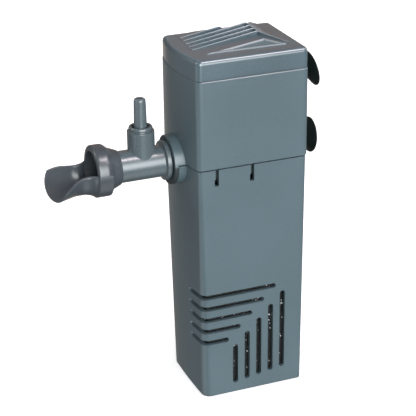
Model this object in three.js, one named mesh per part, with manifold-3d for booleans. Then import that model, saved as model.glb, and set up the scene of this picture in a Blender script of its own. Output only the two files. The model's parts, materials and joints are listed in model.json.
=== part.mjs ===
// Internal power filter for an aquarium: sponge canister below, pump head above,
// swivelling outlet with air inlet and duckbill nozzle at the front, suction cups behind.
// Millimetres, +Z up, -Y is the outlet side, +Y the glass side, +X the face with the
// intake slots. The origin is the centre of the canister's underside.
import * as THREE from "three";
import { mergeVertices } from "three/addons/utils/BufferGeometryUtils.js";
import Module from "manifold-3d";

const wasm = await Module();
wasm.setup();

// ---- Driving dimensions -------------------------------------------------------------
const GAP = 0.3; // clearance between pieces that touch
const ROUND = 40; // segments of a large round
const FINE_ROUND = 28; // segments of a small round

// Body: a rounded rectangle with a bulged front.
const BODY_WIDTH = 47.7;
const BODY_DEPTH = 57.2; // back wall to the front corners, without the bulge
const HEAD_FRONT_RADIUS = 3.0;
const FOOT_FRONT_RADIUS = 6.6;
const BACK_RADIUS = 3.0;
const HEAD_BULGE = 3.3;
const FOOT_BULGE = 0.6;
const TOP_Z = 180;
const SEAM_Z = 125.3; // canister to pump head
const CAP_SEAM_Z = 170;
const SEAM_STEP = 0.55; // the head overhangs the canister by this much
const SEAM_GAP = 0.55; // shadow line between canister and head
const CANISTER_DRAFT = 0.0105; // slope of the canister walls
const WALL = 2.2;
const FLOOR = 2.6;
const CORNER_STEPS = 7;
const FRONT_STEPS = 14;

// Intake slots: five bars that turn the front corner, five upright slots under them.
const SLOT_WIDTH = 2.8; // upright slots
const BAR_HEIGHT = 2.6; // level slots
const SLOT_PITCH = 6.4;
const SLOT_COUNT = 5;
const BAR_TOP_Z = 57.2;
const BAR_END_Y = 12.3; // end of the top bar on the side face
const BAR_FRONT_X = 7.8; // end of every bar on the front face
const UPRIGHT_Y = 15.95; // the rearmost upright slot
const UPRIGHT_TOP_Z = 53.4;
const UPRIGHT_FOOT_Z = 9.6;
const UPRIGHT_FOOT_STEP = 1.0; // each slot forward reaches this much lower
const SLOT_INNER_X = BODY_WIDTH / 2 - 8; // the cutters stop here, inside the wall

// Snap tongues at the top of the canister, one on each side.
const TONGUE_Y = [-19.1, -0.75]; // the two slots that free a tongue
const TONGUE_SLOT = 1.7;
const TONGUE_FOOT = 0.45; // each slot's lower part is wider by this, on the outlet side
const TONGUE_FOOT_HEIGHT = 3.4;
const TONGUE_DEPTH = 8.8;
const CATCH_HEIGHT = 1.4;

// Outlet, on the Y axis through OUTLET_Z.
const OUTLET_Z = 124.6;
const BOSS_RADIUS = 12.3;
const BOSS_FRONT_Y = -36.3;
const BOSS_EDGE = 0.6; // rounding of the boss's front edge
const BOSS_RING_Y = -34.5; // back of the boss's full front ring
const BOSS_CORE_RADIUS = 10.8; // the boss below the seam, inside the canister's rim
const RIM_RADIUS = 11.1;
const BOSS_ROOT_Y = -24; // behind this the boss narrows to the throat
const THROAT_RADIUS = 8.2;
const BOSS_BORE = 8.15;
const PIPE_RADIUS = 7.85;
const PIPE_BORE = 6.2;
const PIPE_INNER_Y = -27;
const PIPE_END_Y = -66.4;
const FLANGE_RADIUS = 9.8;
const FLANGE_FRONT_Y = -38.8;
const BRANCH_Y = -49;
const BRANCH_RADIUS = 6.65;
const BRANCH_SHOULDER_Z = 141.6;
const BRANCH_COLLAR_RADIUS = 5.6;
const BRANCH_TOP_Z = 144.0;
const SOCKET_RADIUS = 4.5;
const SOCKET_FLOOR_Z = 137.6;
const SPIGOT_TIP_Z = 158;
const SPIGOT_BORE = 1.2;

// Duckbill nozzle on the pipe's end.
const NOZZLE_BACK_Y = -61.2;
const NOZZLE_RING_Y = -66.8;
const NOZZLE_FRONT_Y = -74.4;
const NOZZLE_NECK_RADIUS = 10.1; // wide end of the cone behind the ring
const NOZZLE_RADIUS = 12.7;
const NOZZLE_BORE = 9.9;
const LIP_RADIUS = 12.9; // the ring's lower half, which runs on into the scoop
const LIP_Z = 126.2;
const SCOOP_WALL = 1.9;
const SCOOP_ARC_STEPS = 18;
const SCOOP_TIP_CURVE = 3.6; // the middle of the lip reaches this far past its corners
const SCOOP_STATIONS = [
  { y: -71.5, halfWidth: 12.4, rim: 126.2, floor: 112.2 },
  { y: -74.2, halfWidth: 12.0, rim: 126.2, floor: 112.3 },
  { y: -76.2, halfWidth: 10.3, rim: 126.0, floor: 113.1 },
  { y: -78.6, halfWidth: 9.5, rim: 125.8, floor: 113.7 },
  { y: -81.4, halfWidth: 9.9, rim: 125.5, floor: 113.9 },
  { y: -84, halfWidth: 11.4, rim: 125.2, floor: 114.1 },
  { y: -87, halfWidth: 13.8, rim: 124.5, floor: 114.1 },
  { y: -89.5, halfWidth: 15.6, rim: 123.4, floor: 114.2 },
  { y: -92.2, halfWidth: 16.9, rim: 122.0, floor: 114.4 },
];

// Pump: rotor axis, impeller chamber and the thin well the magnet turns in.
const ROTOR_Y = -5;
const CHAMBER_RADIUS = 12.5;
const CHAMBER_WALL = 1.7;
const CHAMBER_FLOOR_Z = 115.3;
const CHAMBER_TOP_Z = 131.5;
const DECK_Z = 134; // floor of the dry motor compartment
const WELL_BORE = 8.2;
const WELL_WALL = 1.3;
const WELL_TOP_Z = 161.5;
const PLUG_DEPTH = 6; // how far the head reaches into the canister
const PLUG_WALL = 1.6;
const SHAFT_RADIUS = 1.25;
const SHAFT_FOOT_Z = 114.4;
const MAGNET_RADIUS = 7.5;
const MAGNET_Z = [135, 157];
const IMPELLER_RADIUS = 10.6;
const IMPELLER_Z = [119.6, 130.4];
const BLADE_COUNT = 6;
const BLADE_THICKNESS = 1.2;
const HUB_RADIUS = 3.6;
const BUSH_RADIUS = 3.2;
const COVER_FOOT_Z = 113;
const COVER_TOP_Z = 118;
const INTAKE_RADIUS = 8.6;
const SPOKE_COUNT = 3;

// Motor: a U of laminations round the well, with one coil on the yoke behind it.
const STACK_Z = [138, 156];
const LEG_X = [9.4, 18.6];
const YOKE_Y = [11.2, 19.2];
const LEG_FRONT_Y = -14;
const POLE_RADIUS = WELL_BORE + WELL_WALL + GAP + 0.1;
const COIL_Y = 15.2;
const COIL_Z = 147;
const BOBBIN_HALF = [8.9, 10.1, 12.9]; // half sizes along X, Y and Z

// Suction cups on the back of the head.
const CUP_X = 11.5;
const CUPS = [
  { height: "lower", z: 131.2, tilt: -3 },
  { height: "upper", z: 164.4, tilt: 12 },
];
const CUP_RADIUS = 8.8;
const CUP_FACE = 6.2; // rim plane from the back wall
const SOCKET_BOSS = 4.2;
const SOCKET_LENGTH = 1.8;
const STUD_RADIUS = 2.1;
const GLAND_Z = 148;

// Cap decoration: a sunk triangle and chevron ribs that step away from it. A rib's
// front face is steep, its back slopes down to the next rib, and it is highest at the apex.
const CAP_EDGE_RADIUS = 2.2;
const CAP_STEP = 0.2; // the cap is set back from the head by this much
const CAP_LEDGE = 0.45; // bevel round the head's top edge, below the cap
const TRIANGLE = [[14.6, -20.4], [14.9, 20.6], [2.6, 14.2]];
const TRIANGLE_FRAME = 0.6; // height of the raised frame round the panel
const TRIANGLE_RIM = [0.4, 1.1, 1.6]; // insets of the frame's crest, its inner edge and the panel
const PANEL_DEPTH = 0.15; // the panel lies this far below the cap's top
const RIB_COUNT = 5;
const RIB_STEP_X = -5.1;
const RIB_START_Y = 0.5; // each rib starts this much further back
const RIB_BEVEL = 0.35; // along the crest
const RIB_TAIL = 4.7;
const RIB_START = { x: 5.9, y: -24.2, height: 0.25 };
const RIB_APEX = { x: -5.6, y: 14.2, height: 1.75 };
const RIB_END = { x: 13.1, y: 22.6, height: 0.25 };

// ---- Materials ----------------------------------------------------------------------
const surface = (color, roughness, metalness = 0) =>
  new THREE.MeshStandardMaterial({ color, roughness, metalness });
const greyPlastic = () => surface(0x66757b, 0.42);
const blackRubber = () => surface(0x12161a, 0.55);
const whitePlastic = () => surface(0xd9dad4, 0.5);

// ---- Solids -------------------------------------------------------------------------
// Turns a three.js geometry into a closed solid.
function solid(geometry) {
  geometry.deleteAttribute("normal");
  geometry.deleteAttribute("uv");
  const merged = mergeVertices(geometry, 1e-4);
  const index = merged.index.array;
  const corners = [];
  for (let i = 0; i < index.length; i += 3) {
    const [a, b, c] = [index[i], index[i + 1], index[i + 2]];
    if (a !== b && b !== c && c !== a) corners.push(a, b, c);
  }
  const build = (triangles) =>
    new wasm.Manifold(
      new wasm.Mesh({
        numProp: 3,
        vertProperties: merged.attributes.position.array,
        triVerts: new Uint32Array(triangles),
      }),
    );
  const made = build(corners);
  return made.volume() < 0 ? build(corners.reverse()) : made;
}

const join = (...solids) => solids.reduce((a, b) => a.add(b));
const cut = (body, ...tools) => tools.reduce((a, b) => a.subtract(b), body);

function box([x0, x1], [y0, y1], [z0, z1]) {
  const shape = new THREE.BoxGeometry(x1 - x0, y1 - y0, z1 - z0);
  return solid(shape.translate((x0 + x1) / 2, (y0 + y1) / 2, (z0 + z1) / 2));
}

// Rounds about a vertical axis; the profile is [radius, z] pairs.
function turned(profile, x, y, segments = FINE_ROUND) {
  const points = profile.map(([r, z]) => new THREE.Vector2(r, z));
  const shape = new THREE.LatheGeometry(points, segments);
  return solid(shape.rotateX(Math.PI / 2).translate(x, y, 0));
}

// Rounds about an axis along Y; the profile is [radius, y] pairs.
function turnedAlongY(profile, x, z, segments = ROUND) {
  const points = profile.map(([r, y]) => new THREE.Vector2(r, y));
  const shape = new THREE.LatheGeometry(points, segments);
  return solid(shape.translate(x, 0, z));
}

const rod = (radius, [z0, z1], x, y, segments) =>
  turned([[0, z0], [radius, z0], [radius, z1], [0, z1]], x, y, segments);
const rodAlongY = (radius, [y0, y1], x, z, segments) =>
  turnedAlongY([[0, y0], [radius, y0], [radius, y1], [0, y1]], x, z, segments);

// A flat outline in the YZ plane, pushed along X.
function pushedAlongX(outline, [x0, x1]) {
  const shape = new THREE.ExtrudeGeometry(outline, {
    depth: x1 - x0,
    bevelEnabled: false,
    curveSegments: 6,
  });
  const turn = new THREE.Matrix4().set(0, 0, 1, x0, 1, 0, 0, 0, 0, 1, 0, 0, 0, 0, 0, 1);
  return solid(shape.applyMatrix4(turn));
}

// A flat outline in the XY plane, pushed up Z.
function pushedUp(outline, [z0, z1]) {
  const shape = new THREE.ExtrudeGeometry(outline, {
    depth: z1 - z0,
    bevelEnabled: false,
    curveSegments: 6,
  });
  return solid(shape.translate(0, 0, z0));
}

const polygon = (points) =>
  new THREE.Shape(points.map(([x, y]) => new THREE.Vector2(x, y)));

// Skins a row of rings that hold the same number of points, and closes both ends.
// The two plane axes name the coordinates that spread each ring out.
function loft(rings, planeAxes = ["x", "y"]) {
  const count = rings[0].length;
  const positions = rings.flat().flatMap((p) => [p.x, p.y, p.z]);
  const index = [];
  for (let ring = 0; ring + 1 < rings.length; ring++) {
    for (let i = 0; i < count; i++) {
      const a = ring * count + i;
      const b = ring * count + ((i + 1) % count);
      index.push(a, b, b + count, a, b + count, a + count);
    }
  }
  const closeEnd = (ring, offset, flip) => {
    const flat = ring.map((p) => new THREE.Vector2(p[planeAxes[0]], p[planeAxes[1]]));
    const turnedOver = THREE.ShapeUtils.area(flat) < 0;
    for (const [a, b, c] of THREE.ShapeUtils.triangulateShape(flat, [])) {
      if (flip !== turnedOver) index.push(offset + a, offset + c, offset + b);
      else index.push(offset + a, offset + b, offset + c);
    }
  };
  closeEnd(rings[0], 0, true);
  closeEnd(rings[rings.length - 1], count * (rings.length - 1), false);
  const shape = new THREE.BufferGeometry();
  shape.setAttribute("position", new THREE.Float32BufferAttribute(positions, 3));
  shape.setIndex(index);
  return solid(shape);
}

// ---- Body outline -------------------------------------------------------------------
function arc(cx, cy, radius, from, to, steps) {
  const points = [];
  for (let i = 0; i <= steps; i++) {
    const angle = from + ((to - from) * i) / steps;
    points.push([cx + radius * Math.cos(angle), cy + radius * Math.sin(angle)]);
  }
  return points;
}

// The body's plan at height z, moved inwards by inset.
function bodyRing(z, inset, bulge, cornerRadius) {
  const halfWidth = BODY_WIDTH / 2 - inset;
  const back = BODY_DEPTH / 2 - inset;
  const frontRadius = Math.max(cornerRadius - inset, 0.8);
  const backRadius = Math.max(BACK_RADIUS - inset, 0.6);
  const sweep = (halfWidth ** 2 + bulge ** 2) / (2 * bulge);
  const sweepY = -BODY_DEPTH / 2 + inset - bulge + sweep;
  const cornerX = halfWidth - frontRadius;
  const cornerY = sweepY - Math.sqrt((sweep - frontRadius) ** 2 - cornerX ** 2);
  const lean = Math.atan2(cornerY - sweepY, cornerX);
  const half = Math.PI / 2;
  const front = arc(0, sweepY, sweep, -Math.PI - lean, lean, FRONT_STEPS).slice(1, -1);
  return [
    ...arc(cornerX, cornerY, frontRadius, lean, 0, CORNER_STEPS),
    ...arc(halfWidth - backRadius, back - backRadius, backRadius, 0, half, CORNER_STEPS),
    ...arc(backRadius - halfWidth, back - backRadius, backRadius, half, 2 * half, CORNER_STEPS),
    ...arc(-cornerX, cornerY, frontRadius, -2 * half, -2 * half - lean, CORNER_STEPS),
    ...front,
  ].map(([x, y]) => new THREE.Vector3(x, y, z));
}

const headRing = (z, inset = 0) => bodyRing(z, inset, HEAD_BULGE, HEAD_FRONT_RADIUS);

function canisterRing(z, inset = 0) {
  const taper = SEAM_STEP + (SEAM_Z - z) * CANISTER_DRAFT;
  const rise = z / SEAM_Z;
  const bulge = FOOT_BULGE + (HEAD_BULGE - FOOT_BULGE) * rise;
  const cornerRadius = FOOT_FRONT_RADIUS + (HEAD_FRONT_RADIUS - FOOT_FRONT_RADIUS) * rise;
  return bodyRing(z, taper + inset, bulge, cornerRadius);
}

// ---- Canister -----------------------------------------------------------------------
// A long hole with round ends in the side face.
function sideSlot(y, [z0, z1], [x0, x1]) {
  const r = SLOT_WIDTH / 2;
  const outline = new THREE.Shape();
  outline.absarc(y, z1 - r, r, 0, Math.PI, false);
  outline.absarc(y, z0 + r, r, Math.PI, 2 * Math.PI, false);
  return pushedAlongX(outline, [x0, x1]);
}

// A level slot that runs from the front face round the corner into the side face.
function cornerBar(z, endY) {
  const r = BAR_HEIGHT / 2;
  const [inner, outer] = [SLOT_INNER_X, BODY_WIDTH / 2 + 2];
  const frontY = -BODY_DEPTH / 2 - 6;
  const shelfY = -BODY_DEPTH / 2 + 8;
  const plan = polygon([
    [BAR_FRONT_X + r, frontY],
    [outer, frontY],
    [outer, endY - r],
    [inner, endY - r],
    [inner, shelfY],
    [BAR_FRONT_X + r, shelfY],
  ]);
  return join(
    pushedUp(plan, [z - r, z + r]),
    rodAlongY(r, [frontY, shelfY], BAR_FRONT_X + r, z, 12),
    rodAlongX(r, [inner, outer], endY - r, z),
  );
}

function rodAlongX(radius, [x0, x1], y, z) {
  const outline = new THREE.Shape();
  outline.absarc(y, z, radius, 0, 2 * Math.PI, false);
  return pushedAlongX(outline, [x0, x1]);
}

// The two slots beside a snap tongue and the catch on its inner face.
function tongueSlots(side) {
  const across = [BODY_WIDTH / 2 - 5, BODY_WIDTH / 2 + 2].map((x) => side * x);
  across.sort((a, b) => a - b);
  const foot = SEAM_Z - TONGUE_DEPTH;
  return TONGUE_Y.map((y) => {
    const [front, back] = [y - TONGUE_SLOT / 2, y + TONGUE_SLOT / 2];
    return join(
      box(across, [front, back], [foot, SEAM_Z + 1]),
      box(across, [front - TONGUE_FOOT, back], [foot, foot + TONGUE_FOOT_HEIGHT]),
    );
  });
}

function tongueCatch(side) {
  const wallX = BODY_WIDTH / 2 - SEAM_STEP - WALL;
  const across = [side * (wallX - 0.35), side * (wallX + 0.8)].sort((a, b) => a - b);
  const length = [TONGUE_Y[0] + 3, TONGUE_Y[1] - 3];
  const top = SEAM_Z - 2.4;
  return box(across, length, [top - CATCH_HEIGHT, top]);
}

function canister() {
  const top = SEAM_Z - SEAM_GAP / 2;
  const shell = loft([
    canisterRing(0, 0.9),
    canisterRing(0.3, 0.35),
    canisterRing(0.9),
    canisterRing(top - 0.1),
    canisterRing(top, 0.1),
  ]);
  const hollow = loft([canisterRing(FLOOR, WALL), canisterRing(SEAM_Z + 1, WALL)]);
  const rim = turnedAlongY(
    [
      [RIM_RADIUS, -24],
      [BOSS_RADIUS, -24],
      [BOSS_RADIUS, BOSS_RING_Y + 2 * GAP],
      [BOSS_RADIUS - GAP, BOSS_RING_Y + GAP],
      [RIM_RADIUS, BOSS_RING_Y + GAP],
      [RIM_RADIUS, -24],
    ],
    0,
    OUTLET_Z,
  );
  const belowSeam = box([-30, 30], [-60, 0], [60, top]);
  const notch = join(
    rodAlongY(RIM_RADIUS, [-40, -22], 0, OUTLET_Z),
    box([-RIM_RADIUS, RIM_RADIUS], [-40, -22], [OUTLET_Z, SEAM_Z + 1]),
  );
  const slots = [];
  for (let i = 0; i < SLOT_COUNT; i++) {
    const shift = i * SLOT_PITCH;
    slots.push(cornerBar(BAR_TOP_Z - shift, BAR_END_Y - shift));
    const reach = [UPRIGHT_FOOT_Z - i * UPRIGHT_FOOT_STEP, UPRIGHT_TOP_Z - shift];
    slots.push(sideSlot(UPRIGHT_Y - shift, reach, [SLOT_INNER_X, BODY_WIDTH / 2 + 2]));
  }
  const walls = cut(join(shell, rim.intersect(belowSeam)), hollow, notch);
  const catches = join(tongueCatch(1), tongueCatch(-1));
  return cut(join(walls, catches), ...slots, ...tongueSlots(1), ...tongueSlots(-1));
}

function sponge() {
  const inset = WALL + 0.8;
  return loft([
    canisterRing(FLOOR + 0.5, inset + 1),
    canisterRing(FLOOR + 1.5, inset),
    canisterRing(110, inset),
    canisterRing(111, inset + 1),
  ]);
}

// ---- Pump head ----------------------------------------------------------------------
function outletBoss() {
  const chamberY = ROTOR_Y - CHAMBER_RADIUS + 1;
  const bossTo = (radius, frontY) =>
    turnedAlongY(
      [
        [0, frontY],
        [radius - BOSS_EDGE, frontY],
        [radius - BOSS_EDGE * 0.3, frontY + BOSS_EDGE * 0.3],
        [radius, frontY + BOSS_EDGE],
        [radius, BOSS_ROOT_Y],
        [THROAT_RADIUS, BOSS_ROOT_Y],
        [THROAT_RADIUS, chamberY],
        [0, chamberY],
      ],
      0,
      OUTLET_Z,
    );
  const full = bossTo(BOSS_RADIUS, BOSS_FRONT_Y);
  const reach = [-BOSS_RADIUS - 1, BOSS_RADIUS + 1];
  const top = OUTLET_Z + BOSS_RADIUS + 1;
  const aboveSeam = box(reach, [BOSS_FRONT_Y - 1, -26], [SEAM_Z + SEAM_GAP / 2, top]);
  const frontRing = box(reach, [BOSS_FRONT_Y - 1, BOSS_RING_Y], [OUTLET_Z - BOSS_RADIUS - 1, top]);
  return join(
    full.intersect(join(aboveSeam, frontRing)),
    bossTo(BOSS_CORE_RADIUS, BOSS_RING_Y - 1),
  );
}

function cupSocket(z, x) {
  const back = BODY_DEPTH / 2;
  return rodAlongY(SOCKET_BOSS, [back - 1, back + SOCKET_LENGTH], x, z, FINE_ROUND);
}

function cupHole(z, x) {
  const back = BODY_DEPTH / 2;
  return rodAlongY(
    STUD_RADIUS + GAP,
    [back - 1.2, back + SOCKET_LENGTH + 1],
    x,
    z,
    FINE_ROUND,
  );
}

// The recess in the chamber wall that a cover lug turns in.
function lugRecess(turn) {
  const [inner, outer] = [CHAMBER_RADIUS - 1, CHAMBER_RADIUS + 1.2];
  const [from, to] = [turn - 0.14, turn + 0.62];
  const outline = polygon([
    ...arc(0, 0, outer, from, to, 6),
    ...arc(0, 0, inner, to, from, 6),
  ]);
  return pushedUp(outline, [CHAMBER_FLOOR_Z + 0.5, CHAMBER_FLOOR_Z + 2.7]).translate([
    0,
    ROTOR_Y,
    0,
  ]);
}

function pumpHead() {
  const foot = SEAM_Z + SEAM_GAP / 2;
  const top = CAP_SEAM_Z - GAP / 2;
  const plugInset = SEAM_STEP + WALL + 0.6;
  const shell = loft([
    headRing(foot, 0.15),
    headRing(foot + 0.15),
    headRing(top - CAP_LEDGE),
    headRing(top, CAP_LEDGE),
  ]);
  const plug = loft([headRing(SEAM_Z - PLUG_DEPTH, plugInset), headRing(foot + 1, plugInset)]);
  const underside = loft([
    headRing(SEAM_Z - PLUG_DEPTH - 1, plugInset + PLUG_WALL),
    headRing(CHAMBER_TOP_Z, plugInset + PLUG_WALL),
  ]);
  const motorBay = loft([headRing(DECK_Z, WALL), headRing(top + 1, WALL)]);
  const chamberOuter = CHAMBER_RADIUS + CHAMBER_WALL;
  const chamber = rod(chamberOuter, [CHAMBER_FLOOR_Z, DECK_Z - 1], 0, ROTOR_Y, ROUND);
  const well = rod(WELL_BORE + WELL_WALL, [DECK_Z - 1, WELL_TOP_Z + 1.5], 0, ROTOR_Y, ROUND);
  const chamberBore = rod(
    CHAMBER_RADIUS,
    [CHAMBER_FLOOR_Z - 1, CHAMBER_TOP_Z],
    0,
    ROTOR_Y,
    ROUND,
  );
  const wellBore = rod(WELL_BORE, [CHAMBER_TOP_Z - 1, WELL_TOP_Z], 0, ROTOR_Y, ROUND);
  const pipeBore = rodAlongY(BOSS_BORE, [BOSS_FRONT_Y - 1, PIPE_INNER_Y + GAP], 0, OUTLET_Z);
  const throat = rodAlongY(PIPE_BORE, [PIPE_INNER_Y - 1, ROTOR_Y - 8], 0, OUTLET_Z);
  const glandHole = rodAlongY(3.5, [20, 40], 0, GLAND_Z, FINE_ROUND);
  const insideFront = box([-20, 20], [-60, ROTOR_Y - 11], [100, 150]);
  let head = cut(join(shell, plug), underside);
  head = join(head, chamber, outletBoss().intersect(insideFront));
  head = join(cut(head, motorBay), well);
  const cups = CUPS.flatMap(({ z }) => [CUP_X, -CUP_X].map((x) => [z, x]));
  head = join(head, ...cups.map(([z, x]) => cupSocket(z, x)));
  return cut(
    head,
    chamberBore,
    wellBore,
    pipeBore,
    throat,
    glandHole,
    lugRecess(Math.PI / 2),
    lugRecess((3 * Math.PI) / 2 + 0.9),
    ...cups.map(([z, x]) => cupHole(z, x)),
  );
}

// ---- Cap ----------------------------------------------------------------------------
// One chevron rib: a wedge that runs along two legs and is mitred at the apex.
function rib(number) {
  const corners = [RIB_START, RIB_APEX, RIB_END];
  const places = corners.map(({ x, y }) => new THREE.Vector2(x + number * RIB_STEP_X, y));
  places[0].y += number * RIB_START_Y;
  const normal = (a, b) => {
    const along = b.clone().sub(a).normalize();
    return new THREE.Vector2(-along.y, along.x);
  };
  const first = normal(places[0], places[1]);
  const second = normal(places[1], places[2]);
  const miter = first.clone().add(second).normalize();
  miter.divideScalar(miter.dot(first));
  return loft(
    [first, miter, second].map((away, i) => {
      const { height } = corners[i];
      const bevel = Math.min(RIB_BEVEL, height / 2);
      const point = (back, z) => {
        const place = places[i].clone().addScaledVector(away, back);
        return new THREE.Vector3(place.x, place.y, TOP_Z + z);
      };
      return [
        point(0, -0.4),
        point(0, height - bevel),
        point(bevel, height),
        point(RIB_TAIL, 0.05),
        point(RIB_TAIL, -0.4),
      ];
    }),
    ["x", "z"],
  );
}

// The ribs stay inside a field whose sides lean in, so a rib runs out at the cap's edge.
function capRibs() {
  const field = loft([headRing(TOP_Z - 1, 1), headRing(TOP_Z + 3, 3)]);
  const ribs = [];
  for (let i = 0; i < RIB_COUNT; i++) ribs.push(rib(i).intersect(field));
  return ribs;
}

// A triangle moved inwards by the same distance on every side.
function insetTriangle(points, distance) {
  const corners = points.map(([x, y]) => new THREE.Vector2(x, y));
  const sides = corners.map((_, i) => corners[(i + 1) % 3].distanceTo(corners[(i + 2) % 3]));
  const perimeter = sides[0] + sides[1] + sides[2];
  const centre = new THREE.Vector2();
  corners.forEach((corner, i) => centre.addScaledVector(corner, sides[i] / perimeter));
  const inradius = (2 * Math.abs(THREE.ShapeUtils.area(corners))) / perimeter;
  return corners.map((corner) => centre.clone().lerp(corner, 1 - distance / inradius));
}

const triangleRing = (inset, z) =>
  insetTriangle(TRIANGLE, inset).map(({ x, y }) => new THREE.Vector3(x, y, z));

function triangleFrame() {
  return loft([
    triangleRing(0, TOP_Z - 0.4),
    triangleRing(0, TOP_Z),
    triangleRing(TRIANGLE_RIM[0], TOP_Z + TRIANGLE_FRAME),
  ]);
}

function trianglePanel() {
  return loft([
    triangleRing(TRIANGLE_RIM[2], TOP_Z - PANEL_DEPTH),
    triangleRing(TRIANGLE_RIM[1], TOP_Z + TRIANGLE_FRAME),
    triangleRing(TRIANGLE_RIM[1], TOP_Z + 2),
  ]);
}

function headCap() {
  const foot = CAP_SEAM_Z + GAP / 2;
  const edge = [headRing(foot, CAP_STEP)];
  for (let i = 0; i <= 4; i++) {
    const angle = (i / 4) * (Math.PI / 2);
    edge.push(
      headRing(
        TOP_Z - CAP_EDGE_RADIUS * (1 - Math.sin(angle)),
        CAP_STEP + CAP_EDGE_RADIUS * (1 - Math.cos(angle)),
      ),
    );
  }
  const cover = loft(edge);
  const hollow = loft([
    headRing(foot - 1, WALL + 2),
    headRing(TOP_Z - WALL, WALL + 2),
  ]);
  const rimInset = WALL + 0.35;
  const locatingRim = cut(
    loft([headRing(CAP_SEAM_Z - 2.6, rimInset), headRing(foot + 1, rimInset)]),
    loft([headRing(CAP_SEAM_Z - 4, rimInset + 1.4), headRing(foot + 2, rimInset + 1.4)]),
  );
  const top = cut(join(cut(cover, hollow), triangleFrame()), trianglePanel());
  return join(top, locatingRim, ...capRibs());
}

// ---- Outlet pieces ------------------------------------------------------------------
function outletPipe() {
  const tube = turnedAlongY(
    [
      [0, PIPE_END_Y],
      [PIPE_RADIUS - 0.5, PIPE_END_Y],
      [PIPE_RADIUS, PIPE_END_Y + 0.5],
      [PIPE_RADIUS, FLANGE_FRONT_Y - 0.3],
      [PIPE_RADIUS + 1, FLANGE_FRONT_Y],
      [FLANGE_RADIUS - 0.4, FLANGE_FRONT_Y],
      [FLANGE_RADIUS, FLANGE_FRONT_Y + 0.4],
      [FLANGE_RADIUS, BOSS_FRONT_Y - GAP],
      [PIPE_RADIUS, BOSS_FRONT_Y - GAP],
      [PIPE_RADIUS, PIPE_INNER_Y],
      [0, PIPE_INNER_Y],
    ],
    0,
    OUTLET_Z,
  );
  const branch = turned(
    [
      [0, OUTLET_Z],
      [BRANCH_RADIUS, OUTLET_Z],
      [BRANCH_RADIUS, BRANCH_SHOULDER_Z],
      [BRANCH_COLLAR_RADIUS, BRANCH_SHOULDER_Z + 1.1],
      [BRANCH_COLLAR_RADIUS, BRANCH_TOP_Z - 0.4],
      [BRANCH_COLLAR_RADIUS - 0.4, BRANCH_TOP_Z],
      [0, BRANCH_TOP_Z],
    ],
    0,
    BRANCH_Y,
    ROUND,
  );
  const bore = rodAlongY(PIPE_BORE, [PIPE_END_Y - 1, PIPE_INNER_Y + 1], 0, OUTLET_Z);
  const socket = rod(SOCKET_RADIUS, [SOCKET_FLOOR_Z, BRANCH_TOP_Z + 1], 0, BRANCH_Y);
  const airHole = rod(2.2, [OUTLET_Z, SOCKET_FLOOR_Z + 1], 0, BRANCH_Y);
  return cut(join(tube, branch), bore, socket, airHole);
}

function airSpigot() {
  const foot = SOCKET_FLOOR_Z + GAP;
  return turned(
    [
      [SPIGOT_BORE, foot],
      [SOCKET_RADIUS - GAP, foot],
      [SOCKET_RADIUS - GAP, foot + 4.2],
      [3.4, foot + 4.5],
      [3.2, foot + 5.2],
      [2.9, SPIGOT_TIP_Z - 1],
      [2.5, SPIGOT_TIP_Z - 0.3],
      [1.9, SPIGOT_TIP_Z],
      [SPIGOT_BORE, SPIGOT_TIP_Z],
      [SPIGOT_BORE, foot],
    ],
    0,
    BRANCH_Y,
  );
}

// The scoop: a half-round trough that pinches in behind the ring and flares at the lip.
function scoopRing({ y, halfWidth, rim, floor }, tipCurve) {
  const points = [];
  const sweep = (wall, steps) => {
    for (const i of steps) {
      const angle = (i / SCOOP_ARC_STEPS) * Math.PI;
      points.push(
        new THREE.Vector3(
          (halfWidth - wall) * Math.cos(angle),
          y - tipCurve * Math.sin(angle),
          rim - (rim - floor - wall) * Math.sin(angle),
        ),
      );
    }
  };
  const steps = Array.from({ length: SCOOP_ARC_STEPS + 1 }, (_, i) => i);
  sweep(0, steps);
  sweep(SCOOP_WALL, steps.reverse());
  return points;
}

function flowNozzle() {
  const ring = (radius) =>
    turnedAlongY(
      [
        [PIPE_RADIUS + GAP, NOZZLE_BACK_Y],
        [PIPE_RADIUS + GAP, PIPE_END_Y - GAP],
        [NOZZLE_BORE, PIPE_END_Y - 1.2],
        [NOZZLE_BORE, NOZZLE_FRONT_Y],
        [radius - 1.6, NOZZLE_FRONT_Y],
        [radius - 0.5, NOZZLE_FRONT_Y + 0.5],
        [radius, NOZZLE_FRONT_Y + 1.6],
        [radius, NOZZLE_RING_Y - 1.1],
        [radius - 0.4, NOZZLE_RING_Y - 0.3],
        [NOZZLE_NECK_RADIUS + 0.5, NOZZLE_RING_Y],
        [NOZZLE_NECK_RADIUS, NOZZLE_RING_Y + 0.3],
        [PIPE_RADIUS + 0.7, NOZZLE_BACK_Y],
        [PIPE_RADIUS + GAP, NOZZLE_BACK_Y],
      ],
      0,
      OUTLET_Z,
    );
  const lowerHalf = box([-20, 20], [NOZZLE_FRONT_Y - 1, NOZZLE_BACK_Y + 1], [100, LIP_Z]);
  const last = SCOOP_STATIONS.length - 1;
  const scoop = loft(
    SCOOP_STATIONS.map((station, i) =>
      scoopRing(station, SCOOP_TIP_CURVE * Math.max(0, (i - 3) / (last - 3)) ** 2),
    ),
    ["x", "z"],
  );
  const bore = rodAlongY(NOZZLE_BORE, [NOZZLE_FRONT_Y - 0.5, PIPE_END_Y - 1.2], 0, OUTLET_Z);
  const ringBody = join(ring(NOZZLE_RADIUS), ring(LIP_RADIUS).intersect(lowerHalf));
  return join(ringBody, cut(scoop, bore));
}

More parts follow.
